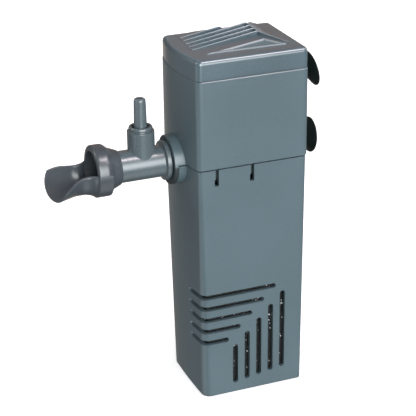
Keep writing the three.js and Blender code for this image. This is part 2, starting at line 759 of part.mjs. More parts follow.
// ---- Pump pieces --------------------------------------------------------------------
function impeller() {
  const [foot, top] = IMPELLER_Z;
  const blades = [];
  for (let i = 0; i < BLADE_COUNT; i++) {
    const blade = box(
      [HUB_RADIUS - 1, IMPELLER_RADIUS],
      [-BLADE_THICKNESS / 2, BLADE_THICKNESS / 2],
      [foot + 0.6, top - 0.4],
    );
    blades.push(blade.rotate([0, 0, (360 / BLADE_COUNT) * i]).translate([0, ROTOR_Y, 0]));
  }
  const hub = rod(HUB_RADIUS, [foot, MAGNET_Z[0] - GAP], 0, ROTOR_Y);
  const plate = rod(IMPELLER_RADIUS, [top - 1.2, top], 0, ROTOR_Y, ROUND);
  const bore = rod(SHAFT_RADIUS + GAP, [foot - 1, MAGNET_Z[0] + 1], 0, ROTOR_Y);
  return cut(join(hub, plate, ...blades), bore);
}

function rotorMagnet() {
  return cut(
    rod(MAGNET_RADIUS, MAGNET_Z, 0, ROTOR_Y, ROUND),
    rod(SHAFT_RADIUS + GAP, [MAGNET_Z[0] - 1, MAGNET_Z[1] + 1], 0, ROTOR_Y),
  );
}

function shaftBush([z0, z1], [shaftFrom, shaftTo]) {
  return cut(
    rod(BUSH_RADIUS, [z0, z1], 0, ROTOR_Y),
    rod(SHAFT_RADIUS + GAP, [shaftFrom, shaftTo], 0, ROTOR_Y),
  );
}

function voluteCover() {
  const flange = rod(
    CHAMBER_RADIUS + CHAMBER_WALL,
    [COVER_FOOT_Z, CHAMBER_FLOOR_Z - GAP],
    0,
    ROTOR_Y,
    ROUND,
  );
  const collar = rod(
    CHAMBER_RADIUS - GAP,
    [CHAMBER_FLOOR_Z - 1, COVER_TOP_Z],
    0,
    ROTOR_Y,
    ROUND,
  );
  const intake = rod(INTAKE_RADIUS, [COVER_FOOT_Z - 1, COVER_TOP_Z + 1], 0, ROTOR_Y);
  const hub = rod(BUSH_RADIUS + 1.6, [COVER_FOOT_Z, COVER_TOP_Z], 0, ROTOR_Y);
  const hubBore = rod(BUSH_RADIUS + GAP, [COVER_FOOT_Z + 1, COVER_TOP_Z + 1], 0, ROTOR_Y);
  const spokes = [];
  for (let i = 0; i < SPOKE_COUNT; i++) {
    const spoke = box([BUSH_RADIUS + 1, INTAKE_RADIUS + 1], [-0.9, 0.9], [COVER_FOOT_Z, 116]);
    spokes.push(spoke.rotate([0, 0, (360 / SPOKE_COUNT) * i]).translate([0, ROTOR_Y, 0]));
  }
  const lugs = [90, 270 + 51.6].map((turn) =>
    box(
      [CHAMBER_RADIUS - 1.5, CHAMBER_RADIUS + 0.8],
      [-0.9, 0.9],
      [CHAMBER_FLOOR_Z + 0.8, CHAMBER_FLOOR_Z + 2.4],
    )
      .rotate([0, 0, turn])
      .translate([0, ROTOR_Y, 0]),
  );
  return cut(join(cut(join(flange, collar), intake), hub, ...spokes, ...lugs), hubBore);
}

// ---- Motor pieces -------------------------------------------------------------------
function statorCore() {
  const outer = box([-LEG_X[1], LEG_X[1]], [LEG_FRONT_Y, YOKE_Y[1]], STACK_Z);
  const inner = box([-LEG_X[0], LEG_X[0]], [LEG_FRONT_Y - 1, YOKE_Y[0]], [0, 200]);
  return cut(outer, inner, rod(POLE_RADIUS, [0, 200], 0, ROTOR_Y, ROUND));
}

const spool = (half, grow) =>
  box(
    [-half[0], half[0]],
    [COIL_Y - half[1] - grow, COIL_Y + half[1] + grow],
    [COIL_Z - half[2] - grow, COIL_Z + half[2] + grow],
  );

function coilBobbin() {
  const yokeHalf = [(YOKE_Y[1] - YOKE_Y[0]) / 2, (STACK_Z[1] - STACK_Z[0]) / 2];
  const tube = spool([BOBBIN_HALF[0], yokeHalf[0], yokeHalf[1]], GAP + 1);
  const flanges = [-1, 1].map((side) => {
    const across = [side * (BOBBIN_HALF[0] - 1.1), side * BOBBIN_HALF[0]];
    return box(
      across.sort((a, b) => a - b),
      [COIL_Y - BOBBIN_HALF[1], COIL_Y + BOBBIN_HALF[1]],
      [COIL_Z - BOBBIN_HALF[2], COIL_Z + BOBBIN_HALF[2]],
    );
  });
  return cut(join(tube, ...flanges), spool([40, ...yokeHalf], GAP));
}

function coilWinding() {
  const yokeHalf = [(YOKE_Y[1] - YOKE_Y[0]) / 2, (STACK_Z[1] - STACK_Z[0]) / 2];
  const length = BOBBIN_HALF[0] - 1.1 - GAP;
  const outer = spool([length, BOBBIN_HALF[1] - 1, BOBBIN_HALF[2] - 1], 0);
  return cut(outer, spool([40, ...yokeHalf], 2 * GAP + 1));
}

function resinSeal() {
  const inset = WALL + 0.4;
  return loft([headRing(163.6, inset), headRing(166.4, inset)]);
}

function cableGland() {
  const back = BODY_DEPTH / 2;
  return turnedAlongY(
    [
      [2.2, back - 1.8],
      [3.2, back - 1.8],
      [3.2, back + GAP],
      [4.6, back + GAP],
      [4.6, back + 1.9],
      [3.9, back + 2.3],
      [3.5, back + 4.8],
      [2.2, back + 4.8],
      [2.2, back - 1.8],
    ].reverse(),
    0,
    GLAND_Z,
    FINE_ROUND,
  );
}

// ---- Suction cups -------------------------------------------------------------------
function suctionCup(x, z, tilt) {
  const back = BODY_DEPTH / 2;
  const neckY = back + SOCKET_LENGTH + GAP;
  const faceY = back + CUP_FACE;
  const dome = turnedAlongY(
    [
      [0, neckY - back],
      [3.4, neckY - back],
      [3.9, neckY - back + 0.9],
      [5.6, neckY - back + 1.7],
      [7.6, neckY - back + 2.9],
      [CUP_RADIUS, faceY - back - 0.5],
      [CUP_RADIUS, faceY - back],
      [CUP_RADIUS - 0.9, faceY - back],
      [6.6, faceY - back - 0.9],
      [4.0, faceY - back - 1.8],
      [0, faceY - back - 2.2],
    ].reverse(),
    0,
    0,
    ROUND,
  );
  const pivot = SOCKET_LENGTH + GAP;
  const leaning = dome
    .translate([0, -pivot, 0])
    .rotate([tilt, 0, 0])
    .translate([x, back + pivot + Math.abs(tilt) * 0.06, z]);
  const stud = rodAlongY(STUD_RADIUS, [back - 0.9, neckY + 1.6], x, z, FINE_ROUND);
  return join(leaning, stud);
}

// ---- Assembly -----------------------------------------------------------------------
const filter = new THREE.Group();
filter.name = "internal_power_filter";

function add(name, body, material) {
  const { numProp, vertProperties, triVerts } = body.getMesh();
  const positions = new Float32Array((vertProperties.length / numProp) * 3);
  for (let i = 0; i * numProp < vertProperties.length; i++) {
    positions.set(vertProperties.subarray(i * numProp, i * numProp + 3), i * 3);
  }
  const geometry = new THREE.BufferGeometry();
  geometry.setAttribute("position", new THREE.BufferAttribute(positions, 3));
  geometry.setIndex(new THREE.BufferAttribute(new Uint32Array(triVerts), 1));
  geometry.computeVertexNormals();
  const mesh = new THREE.Mesh(geometry, material);
  mesh.name = name;
  filter.add(mesh);
}

add("canister", canister(), greyPlastic());
add("sponge", sponge(), surface(0x1b1d1e, 0.95));
add("pump_head", pumpHead(), greyPlastic());
add("head_cap", headCap(), greyPlastic());
add("outlet_pipe", outletPipe(), greyPlastic());
add("air_spigot", airSpigot(), greyPlastic());
add("flow_nozzle", flowNozzle(), greyPlastic());
add("volute_cover", voluteCover(), greyPlastic());
add("impeller", impeller(), whitePlastic());
add("rotor_magnet", rotorMagnet(), surface(0x2b2b2d, 0.45, 0.3));
add("rotor_shaft", rod(SHAFT_RADIUS, [SHAFT_FOOT_Z, 161], 0, ROTOR_Y), surface(0xeeeae0, 0.25));
add("shaft_bush_lower", shaftBush([114.3, 117.7], [SHAFT_FOOT_Z - 5, 120]), blackRubber());
add("shaft_bush_upper", shaftBush([158, 161.2], [150, 165]), blackRubber());
add("stator_core", statorCore(), surface(0x7d8084, 0.4, 0.8));
add("coil_bobbin", coilBobbin(), whitePlastic());
add("coil_winding", coilWinding(), surface(0xa8612c, 0.35, 0.6));
add("resin_seal", resinSeal(), surface(0x1a1a1c, 0.3));
add("cable_gland", cableGland(), blackRubber());
for (const { height, z, tilt } of CUPS) {
  add(`suction_cup_${height}_right`, suctionCup(CUP_X, z, tilt), blackRubber());
  add(`suction_cup_${height}_left`, suctionCup(-CUP_X, z, tilt), blackRubber());
}

export default filter;
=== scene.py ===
"""Internal power filter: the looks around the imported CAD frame.

Lengths are in millimetres, and MM turns them into Blender's metres. The housing shells and the
parts inside the pump are cleaned-up copies of their CAD nodes, and the foam is a remeshed one.
The outlet, its air spigot, the nozzle, the suction cups and the cable gland are built here,
finer than the CAD has them.
"""

import json
import math

import bmesh
import bpy
from mathutils import Matrix, Vector, noise


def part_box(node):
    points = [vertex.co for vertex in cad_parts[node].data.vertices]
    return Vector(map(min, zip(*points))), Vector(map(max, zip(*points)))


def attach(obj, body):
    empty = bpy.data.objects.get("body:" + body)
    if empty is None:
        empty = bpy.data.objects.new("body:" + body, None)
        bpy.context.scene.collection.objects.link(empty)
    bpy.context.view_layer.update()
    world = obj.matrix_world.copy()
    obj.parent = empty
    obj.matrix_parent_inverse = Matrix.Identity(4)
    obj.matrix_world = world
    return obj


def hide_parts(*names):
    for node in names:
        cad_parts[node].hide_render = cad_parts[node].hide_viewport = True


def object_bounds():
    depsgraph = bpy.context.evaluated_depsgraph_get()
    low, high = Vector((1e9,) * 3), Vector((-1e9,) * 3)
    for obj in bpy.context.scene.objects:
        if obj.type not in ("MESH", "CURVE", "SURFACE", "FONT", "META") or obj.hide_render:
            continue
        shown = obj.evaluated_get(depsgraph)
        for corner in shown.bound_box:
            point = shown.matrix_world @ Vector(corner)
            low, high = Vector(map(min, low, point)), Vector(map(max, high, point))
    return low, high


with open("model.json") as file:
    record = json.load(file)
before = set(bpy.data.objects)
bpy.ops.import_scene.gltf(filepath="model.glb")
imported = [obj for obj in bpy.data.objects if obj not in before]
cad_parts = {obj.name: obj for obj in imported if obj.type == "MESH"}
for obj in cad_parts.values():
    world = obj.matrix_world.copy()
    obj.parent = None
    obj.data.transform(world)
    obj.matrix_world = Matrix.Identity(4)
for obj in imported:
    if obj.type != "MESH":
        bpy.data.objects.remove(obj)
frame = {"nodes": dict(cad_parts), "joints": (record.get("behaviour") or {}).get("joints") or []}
CAD_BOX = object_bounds()

MM = 0.001
X, Y, Z = range(3)
JOINTS = {joint["name"]: joint for joint in frame["joints"]}
OUTLET_Z = JOINTS["outlet_swivel"]["pos_m"][Z] / MM  # axis of the outlet and the nozzle
OUTLET_AXIS = (0, 0, OUTLET_Z)


def node_span(node, axis):
    """Lowest and highest coordinate of a CAD node along an axis."""
    low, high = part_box(node)
    return low[axis] / MM, high[axis] / MM


# ---- Materials ------------------------------------------------------------------------
MIX_FACTOR, MIX_A, MIX_B, MIX_RESULT = 0, 6, 7, 2  # sockets of a Mix node that mixes colours


def principled(name, **sockets):
    """A material with a Principled shader, and constants set on the shader's own sockets."""
    material = bpy.data.materials.new(name)
    material.use_nodes = True
    shader = material.node_tree.nodes["Principled BSDF"]
    for socket, value in sockets.items():
        shader.inputs[socket.replace("_", " ")].default_value = value
    return material, material.node_tree, shader


def add_node(tree, kind, **settings):
    """A new node; each setting is a constant on a socket, or else a property of the node."""
    node = tree.nodes.new(kind)
    for key, value in settings.items():
        if key in node.inputs:
            node.inputs[key].default_value = value
        else:
            setattr(node, key, value)
    return node


def pattern(tree, kind, **settings):
    """A texture node over object coordinates."""
    coordinates = add_node(tree, "ShaderNodeTexCoord")
    texture = add_node(tree, kind, **settings)
    tree.links.new(coordinates.outputs["Object"], texture.inputs["Vector"])
    return texture


def noise_at(tree, scale, detail, roughness):
    """Noise over object coordinates; scale is in features per metre."""
    texture = pattern(tree, "ShaderNodeTexNoise", Scale=scale, Detail=detail, Roughness=roughness)
    return texture.outputs["Fac"]


def remap(tree, output, low, high, to_low, to_high):
    node = add_node(tree, "ShaderNodeMapRange")
    node.inputs["From Min"].default_value = low
    node.inputs["From Max"].default_value = high
    node.inputs["To Min"].default_value = to_low
    node.inputs["To Max"].default_value = to_high
    tree.links.new(output, node.inputs["Value"])
    return node.outputs["Result"]


def ramp(tree, output, stops):
    """Colours along a value; stops are (value, colour) pairs."""
    node = add_node(tree, "ShaderNodeValToRGB")
    elements = node.color_ramp.elements
    while len(elements) < len(stops):
        elements.new(0.5)
    for element, (place, colour) in zip(elements, stops):
        element.position = place
        element.color = (*colour, 1.0)
    tree.links.new(output, node.inputs["Fac"])
    return node.outputs["Color"]


def roughen(tree, shader, height, strength, depth, invert=False):
    """Surface relief in metres of depth."""
    bump = add_node(tree, "ShaderNodeBump", Strength=strength, Distance=depth)
    bump.invert = invert
    tree.links.new(height, bump.inputs["Height"])
    tree.links.new(bump.outputs["Normal"], shader.inputs["Normal"])


def moulded_plastic(name, colour, rough, grain=0.18, tint=0.11, coat=0.0, gloss=0.2, coat_ior=1.5):
    """Satin moulded plastic: slow colour drift, fine mould texture, uneven gloss."""
    material, tree, shader = principled(
        name,
        IOR=1.56,
        Specular_IOR_Level=0.6,
        Coat_Weight=coat,
        Coat_Roughness=gloss,
        Coat_IOR=coat_ior,
    )
    dark = tuple(c * (1 - tint) for c in colour)
    light = tuple(min(1.0, c * (1 + tint)) for c in colour)
    speckle_share = 0.45  # the rest of the colour's change is slow drift
    drift = noise_at(tree, 28, 2.0, 0.4)
    speckle = noise_at(tree, 1500, 2.0, 0.6)
    mixed = add_node(tree, "ShaderNodeMath", operation="MULTIPLY_ADD")
    tree.links.new(speckle, mixed.inputs[0])
    mixed.inputs[1].default_value = speckle_share
    tree.links.new(remap(tree, drift, 0.0, 1.0, 0.0, 1 - speckle_share), mixed.inputs[2])
    shade = ramp(tree, mixed.outputs[0], [(0.32, dark), (0.68, light)])
    tree.links.new(shade, shader.inputs["Base Color"])
    smears = noise_at(tree, 45, 2.0, 0.5)
    uneven = remap(tree, smears, 0.3, 0.7, rough - 0.015, rough + 0.02)
    tree.links.new(uneven, shader.inputs["Roughness"])
    roughen(tree, shader, noise_at(tree, 2600, 2.0, 0.5), grain, 0.00006)
    return material


def rubber(name, colour, rough):
    """Matt rubber with a little dust on it."""
    material, tree, shader = principled(
        name, IOR=1.52, Sheen_Weight=0.04, Sheen_Roughness=0.5, Specular_IOR_Level=0.3
    )
    dust = noise_at(tree, 220, 5.0, 0.6)
    dusty = tuple(c * 2.1 + 0.002 for c in colour)
    shade = ramp(tree, dust, [(0.4, colour), (0.85, dusty)])
    tree.links.new(shade, shader.inputs["Base Color"])
    uneven = remap(tree, dust, 0.3, 0.7, rough - 0.07, rough + 0.1)
    tree.links.new(uneven, shader.inputs["Roughness"])
    roughen(tree, shader, noise_at(tree, 1800, 2.0, 0.5), 0.16, 0.00005)
    return material


def foam(name):
    """Open-cell foam: painted shade darkens the pores, and painted glints stand for the odd strand
    that catches the light.
    """
    material, tree, shader = principled(name, IOR=1.45, Specular_IOR_Level=0.6)
    # painted shade: the colour goes from the lit strands at the cell edges to near black in the pores
    strand, wall, pore_painted_shade = (0.018, 0.022, 0.021), (0.008, 0.010, 0.010), (0.002, 0.003, 0.003)
    black, painted_glint_colour = (0.0, 0.0, 0.0), (0.8, 0.85, 0.85)
    cells = pattern(tree, "ShaderNodeTexVoronoi", feature="DISTANCE_TO_EDGE", Scale=900.0)
    depth = cells.outputs["Distance"]
    strands = ramp(tree, depth, [(0.0, strand), (0.16, wall), (0.4, pore_painted_shade)])
    # painted glints: scattered light specks added to the colour stand for strands catching the light
    painted_glints = ramp(tree, noise_at(tree, 620, 1.0, 0.5), [(0.69, black), (0.71, painted_glint_colour)])
    mix = add_node(tree, "ShaderNodeMix", data_type="RGBA", blend_type="ADD")
    mix.inputs[MIX_FACTOR].default_value = 1.0
    tree.links.new(strands, mix.inputs[MIX_A])
    tree.links.new(painted_glints, mix.inputs[MIX_B])
    tree.links.new(mix.outputs[MIX_RESULT], shader.inputs["Base Color"])
    tree.links.new(remap(tree, depth, 0.0, 0.4, 0.45, 0.95), shader.inputs["Roughness"])
    roughen(tree, shader, depth, 0.9, 0.0006, invert=True)
    return material


def banded_metal(name, metallic, direction, scale, distortion, colours, roughness):
    """Metal in fine bands, such as stacked sheets or wire laid side by side."""
    material, tree, shader = principled(name, Metallic=metallic)
    bands = pattern(
        tree, "ShaderNodeTexWave", Scale=scale, Distortion=distortion, bands_direction=direction
    ).outputs["Fac"]
    tree.links.new(ramp(tree, bands, colours), shader.inputs["Base Color"])
    tree.links.new(remap(tree, bands, 0.0, 1.0, *roughness), shader.inputs["Roughness"])
    return material


HOUSING = moulded_plastic("housing_satin", (0.107, 0.154, 0.176), 0.32, coat=0.25, gloss=0.22)
CAP = moulded_plastic(
    "cap_satin",
    (0.096, 0.142, 0.168),
    0.30,
    grain=0.3,
    tint=0.17,
    coat=0.8,
    gloss=0.16,
    coat_ior=1.7,
)
PANEL = moulded_plastic("cap_panel_eroded", (0.15, 0.222, 0.250), 0.5, grain=0.5)
OUTLET = moulded_plastic(
    "outlet_smooth", (0.112, 0.146, 0.162), 0.27, grain=0.12, coat=0.85, gloss=0.19
)
# painted shade: the plug stands inside the canister, in its shadow, so this plastic is the housing's
# colour made far darker
PLUG_PAINTED_SHADE = moulded_plastic("plug_painted_shade", (0.030, 0.044, 0.050), 0.5, grain=0.3)
NOZZLE = moulded_plastic(
    "nozzle_smooth", (0.074, 0.088, 0.101), 0.32, grain=0.2, tint=0.2, coat=0.5, gloss=0.17
)
WHITE = moulded_plastic("natural_white", (0.72, 0.72, 0.68), 0.38)
RUBBER = rubber("black_rubber", (0.004, 0.008, 0.007), 0.42)
FOAM = foam("open_cell_foam")
FERRITE = moulded_plastic("ground_ferrite", (0.03, 0.03, 0.032), 0.4, grain=0.3, tint=0.3)
CERAMIC = moulded_plastic("polished_ceramic", (0.82, 0.81, 0.76), 0.14, grain=0.05)
RESIN = moulded_plastic("poured_resin", (0.008, 0.008, 0.009), 0.16, grain=0.06, tint=0.3)
STEEL = banded_metal(
    "laminated_steel",
    metallic=0.85,
    direction="Z",
    scale=320.0,
    distortion=0.4,
    colours=[(0.2, (0.12, 0.125, 0.13)), (0.6, (0.5, 0.51, 0.52))],
    roughness=(0.55, 0.3),
)
COPPER = banded_metal(
    "enamelled_copper",
    metallic=0.9,
    direction="X",
    scale=900.0,
    distortion=0.8,
    colours=[(0.1, (0.16, 0.06, 0.02)), (0.6, (0.62, 0.27, 0.09))],
    roughness=(0.5, 0.28),
)

# ---- Mesh helpers ---------------------------------------------------------------------
ON_AXIS = 1e-6  # a radius below this is a point on the axis
WELD = 0.002  # points nearer than this are one
FLAT = math.radians(0.05)  # faces that lean less than this lie in one plane
CORNER_SHARE = 0.48  # the most of an edge that the rounding of one corner takes


def new_piece(name, vertices, faces):
    mesh = bpy.data.meshes.new(name)
    mesh.from_pydata([Vector(v) * MM for v in vertices], [], faces)
    mesh.validate()
    piece = bpy.data.objects.new(name, mesh)
    bpy.context.scene.collection.objects.link(piece)
    return piece


def solid_piece(name, vertices, faces):
    """A closed piece, every face turned outwards."""
    piece = new_piece(name, vertices, faces)
    work = bmesh.new()
    work.from_mesh(piece.data)
    bmesh.ops.recalc_face_normals(work, faces=work.faces)
    work.to_mesh(piece.data)
    work.free()
    return piece


def lathe(name, profile, axis, centre, segments=96):
    """Turns a profile of (radius, height) pairs about an axis through centre.

    A profile that starts off the axis closes on itself and makes a ring.
    """
    across = {Y: (Z, X, Y), Z: (X, Y, Z)}[axis]
    vertices, rings, faces = [], [], []
    for radius, height in profile:
        ring = []
        for i in range(1 if radius < ON_AXIS else segments):
            angle = 2 * math.pi * i / segments
            point = [0.0, 0.0, 0.0]
            point[across[0]] = centre[across[0]] + radius * math.cos(angle)
            point[across[1]] = centre[across[1]] + radius * math.sin(angle)
            point[across[2]] = height
            ring.append(len(vertices))
            vertices.append(point)
        rings.append(ring)
    closed = profile[0][0] > ON_AXIS
    pairs = list(zip(rings, rings[1:])) + ([(rings[-1], rings[0])] if closed else [])
    for lower, upper in pairs:
        for i in range(segments):
            corners = [
                lower[i % len(lower)],
                lower[(i + 1) % len(lower)],
                upper[(i + 1) % len(upper)],
                upper[i % len(upper)],
            ]
            corners = list(dict.fromkeys(corners))
            if len(corners) > 2:
                faces.append(corners)
    return solid_piece(name, vertices, faces)


def rounded(profile, steps=4):
    """Rounds the corners of a profile of (radius, height, fillet) rows."""
    closed = profile[0][0] > ON_AXIS
    points = []
    for i, (x, y, fillet) in enumerate(profile):
        end = not closed and i in (0, len(profile) - 1)
        if end or fillet <= 0:
            points.append((x, y))
            continue
        here = Vector((x, y))
        before = Vector(profile[i - 1][:2]) - here
        after = Vector(profile[(i + 1) % len(profile)][:2]) - here
        reach = min(fillet, before.length * CORNER_SHARE, after.length * CORNER_SHARE)
        start = here + before.normalized() * reach
        finish = here + after.normalized() * reach
        for step in range(steps + 1):
            t = step / steps
            points.append(tuple(start.lerp(here, t).lerp(here.lerp(finish, t), t)))
    return points


def cylinder(name, radius, low, high, axis, centre, segments=96):
    return lathe(name, [(0, low), (radius, low), (radius, high), (0, high)], axis, centre, segments)


def box_piece(name, low, high):
    corners = [(x, y) for x in (low[X], high[X]) for y in (low[Y], high[Y])]
    vertices = [(x, y, z) for x, y in corners for z in (low[Z], high[Z])]
    faces = [(0, 1, 3, 2), (4, 6, 7, 5), (0, 4, 5, 1), (2, 3, 7, 6), (0, 2, 6, 4), (1, 5, 7, 3)]
    return solid_piece(name, vertices, faces)


def evaluated_mesh(piece):
    """The mesh that a piece has with its modifiers, as a mesh of its own."""
    bpy.context.view_layer.update()
    evaluated = piece.evaluated_get(bpy.context.evaluated_depsgraph_get())
    return bpy.data.meshes.new_from_object(evaluated)


def combine(piece, tool, operation):
    """Applies a boolean and removes the tool."""
    modifier = piece.modifiers.new("combine", "BOOLEAN")
    modifier.operation = operation
    modifier.solver = "EXACT"
    modifier.object = tool
    mesh = evaluated_mesh(piece)
    piece.modifiers.clear()
    old, piece.data = piece.data, mesh
    bpy.data.meshes.remove(old)
    bpy.data.objects.remove(tool)


def clean(source, target):
    """Copies a mesh: doubles merged, faces of one plane made one, texture coordinates dropped."""
    work = bmesh.new()
    work.from_mesh(source)
    for layer in list(work.loops.layers.uv.values()):
        work.loops.layers.uv.remove(layer)
    bmesh.ops.remove_doubles(work, verts=work.verts, dist=WELD * MM)
    bmesh.ops.dissolve_limit(work, angle_limit=FLAT, verts=work.verts, edges=work.edges)
    work.to_mesh(target)
    work.free()


def refined(node, name):
    """A cleaned-up copy of a CAD node's mesh."""
    mesh = bpy.data.meshes.new(name)
    clean(frame["nodes"][node].data, mesh)
    piece = bpy.data.objects.new(name, mesh)
    bpy.context.scene.collection.objects.link(piece)
    return piece


def smooth(piece, angle):
    """Shades round surfaces smoothly and keeps flat ones flat; angle is in degrees.

    At each corner of a face, the faces there that lean less than angle from it share a normal,
    each by its area.
    """
    mesh = piece.data
    limit = math.cos(math.radians(angle))
    directions = [polygon.normal.copy() for polygon in mesh.polygons]
    weighted = [polygon.normal * polygon.area for polygon in mesh.polygons]
    around = [[] for _ in mesh.vertices]
    for polygon in mesh.polygons:
        for vertex in polygon.vertices:
            around[vertex].append(polygon.index)
    normals = []
    for polygon, direction in zip(mesh.polygons, directions):
        polygon.use_smooth = True
        for vertex in polygon.vertices:
            total = Vector()
            for other in around[vertex]:
                if direction.dot(directions[other]) > limit:
                    total += weighted[other]
            normals.append(total.normalized() if total.length > 0 else direction)
    mesh.normals_split_custom_set(normals)


def finish_piece(piece, material, body, node):
    """Paints a piece, fixes it to a body and lets it stand for a CAD node."""
    piece.data.materials.clear()
    piece.data.materials.append(material)
    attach(piece, body)
    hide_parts(node)


def paint(piece, material, chosen):
    """Gives the faces that chosen picks a second material."""
    piece.data.materials.append(material)
    for face in piece.data.polygons:
        if chosen(face):
            face.material_index = 1


# ---- Housing --------------------------------------------------------------------------
RIM_Z = node_span("canister", Z)[1]
RIM_DROP = 0.2  # widens the joint under the head to the dark line it shows
TOP_Z = 180.0  # flat top of the cap, below the crests of its ribs
PANEL_Z = TOP_Z - 0.15  # floor of the sunk triangle
LEVEL = 0.9  # a face whose normal rises more than this lies flat
RIM_SLACK, PANEL_SLACK = 0.02, 0.04  # how near a height counts as at it

shell = refined("canister", "canister_shell")
for vertex in shell.data.vertices:
    if vertex.co.z / MM > RIM_Z - RIM_SLACK:
        vertex.co.z -= RIM_DROP * MM
smooth(shell, 30)
finish_piece(shell, HOUSING, "canister", "canister")

head = refined("pump_head", "pump_head_shell")
smooth(head, 30)
finish_piece(head, HOUSING, "head", "pump_head")
# painted shade: faces of the head below the canister's rim take the darkened plug colour
paint(head, PLUG_PAINTED_SHADE, lambda face: face.center.z / MM < RIM_Z)

cap = refined("head_cap", "head_cap_shell")
smooth(cap, 40)
finish_piece(cap, CAP, "head", "head_cap")


def in_panel(face):
    return face.normal.z > LEVEL and abs(face.center.z / MM - PANEL_Z) < PANEL_SLACK


paint(cap, PANEL, in_panel)

# ---- Outlet ---------------------------------------------------------------------------
PIPE_RADIUS, PIPE_BORE = 7.85, 6.2
PIPE_END_Y, PIPE_INNER_Y = node_span("outlet_pipe", Y)
FLANGE_RADIUS, FLANGE_FRONT_Y, FLANGE_BACK_Y = 9.8, -38.8, -36.6
FLANGE_FOOT = 1.2  # the pipe widens by this much where it meets its flange
BRANCH_Y, BRANCH_RADIUS = -49.0, 6.65
BRANCH_TOP_Z = node_span("outlet_pipe", Z)[1]
SHOULDER_Z = 141.8  # top of the branch's barrel, under the groove and the collar
GROOVE_RADIUS, COLLAR_RADIUS, COLLAR_TOP_RADIUS = 5.15, 5.85, 5.6
SOCKET_RADIUS, SOCKET_FLOOR_Z, AIR_BORE = 4.5, 137.6, 2.2
SOCKET_CUT_Z = 146.0  # the socket's cutter ends here, clear above the branch
MOULD_LINE_HIGH, MOULD_LINE_WIDE = 0.1, 0.3
NOZZLE_BACK_Y = node_span("flow_nozzle", Y)[1]


def branch_tube():
    profile = [
        (0, OUTLET_Z, 0),
        (BRANCH_RADIUS, OUTLET_Z, 0),
        (BRANCH_RADIUS, SHOULDER_Z, 0.25),
        (GROOVE_RADIUS, SHOULDER_Z + 0.1, 0.1),
        (GROOVE_RADIUS, SHOULDER_Z + 1.0, 0.1),
        (COLLAR_RADIUS, SHOULDER_Z + 1.3, 0.15),
        (COLLAR_TOP_RADIUS, BRANCH_TOP_Z, 0.35),
        (0, BRANCH_TOP_Z, 0),
    ]
    return lathe("branch", rounded(profile), Z, (0, BRANCH_Y, 0), segments=80)


def branch_socket():
    """The hole that the air spigot stands in, and its way through to the pipe."""
    profile = [
        (0, OUTLET_Z),
        (AIR_BORE, OUTLET_Z),
        (AIR_BORE, SOCKET_FLOOR_Z),
        (SOCKET_RADIUS, SOCKET_FLOOR_Z),
        (SOCKET_RADIUS, SOCKET_CUT_Z),
        (0, SOCKET_CUT_Z),
    ]
    return lathe("socket", profile, Z, (0, BRANCH_Y, 0), segments=64)


def mould_line(side):
    """The fine line that the mould leaves along the side of the pipe."""
    near, far = sorted((side * (PIPE_RADIUS - 0.4), side * (PIPE_RADIUS + MOULD_LINE_HIGH)))
    half = MOULD_LINE_WIDE / 2
    return box_piece(
        "mould_line",
        (near, NOZZLE_BACK_Y + 0.3, OUTLET_Z - half),
        (far, FLANGE_FRONT_Y - 0.5, OUTLET_Z + half),
    )


def outlet_tube():
    profile = [
        (0, PIPE_END_Y, 0),
        (PIPE_RADIUS, PIPE_END_Y, 0.6),
        (PIPE_RADIUS, FLANGE_FRONT_Y - 0.3, 0.8),
        (PIPE_RADIUS + FLANGE_FOOT, FLANGE_FRONT_Y, 0.5),
        (FLANGE_RADIUS, FLANGE_FRONT_Y, 0.6),
        (FLANGE_RADIUS, FLANGE_BACK_Y, 0.3),
        (PIPE_RADIUS, FLANGE_BACK_Y, 0),
        (PIPE_RADIUS, PIPE_INNER_Y, 0.3),
        (0, PIPE_INNER_Y, 0),
    ]
    tube = lathe("outlet_tube", rounded(profile), Y, OUTLET_AXIS)
    combine(tube, branch_tube(), "UNION")
    for side in (-1, 1):
        combine(tube, mould_line(side), "UNION")
    bore = cylinder("bore", PIPE_BORE, PIPE_END_Y - 1, PIPE_INNER_Y + 1, Y, OUTLET_AXIS)
    combine(tube, bore, "DIFFERENCE")
    combine(tube, branch_socket(), "DIFFERENCE")
    clean(tube.data, tube.data)
    smooth(tube, 26)
    return tube


finish_piece(outlet_tube(), OUTLET, "outlet", "outlet_pipe")

# ---- Air spigot -----------------------------------------------------------------------
SPIGOT_BORE, SPIGOT_PLUG_RADIUS, SPIGOT_FOOT_RADIUS = 1.2, 4.2, 3.4
SPIGOT_PLUG_HEIGHT = 4.2


def air_spigot():
    """A plug in the branch's socket, and a tapered nose for the hose."""
    foot, tip = node_span("air_spigot", Z)
    plug_top = foot + SPIGOT_PLUG_HEIGHT
    profile = [
        (SPIGOT_BORE, foot, 0),
        (SPIGOT_PLUG_RADIUS, foot, 0.3),
        (SPIGOT_PLUG_RADIUS, plug_top, 0.2),
        (SPIGOT_FOOT_RADIUS, plug_top + 0.3, 0.2),
        (SPIGOT_FOOT_RADIUS - 0.2, plug_top + 1.0, 0.4),
        (2.9, tip - 1.0, 0.5),
        (2.5, tip - 0.3, 0.3),
        (1.9, tip, 0.3),
        (SPIGOT_BORE, tip, 0.15),
    ]
    spigot = lathe("air_spigot_barb", rounded(profile), Z, (0, BRANCH_Y, 0), segments=64)
    smooth(spigot, 40)
    return spigot


finish_piece(air_spigot(), OUTLET, "spigot", "air_spigot")

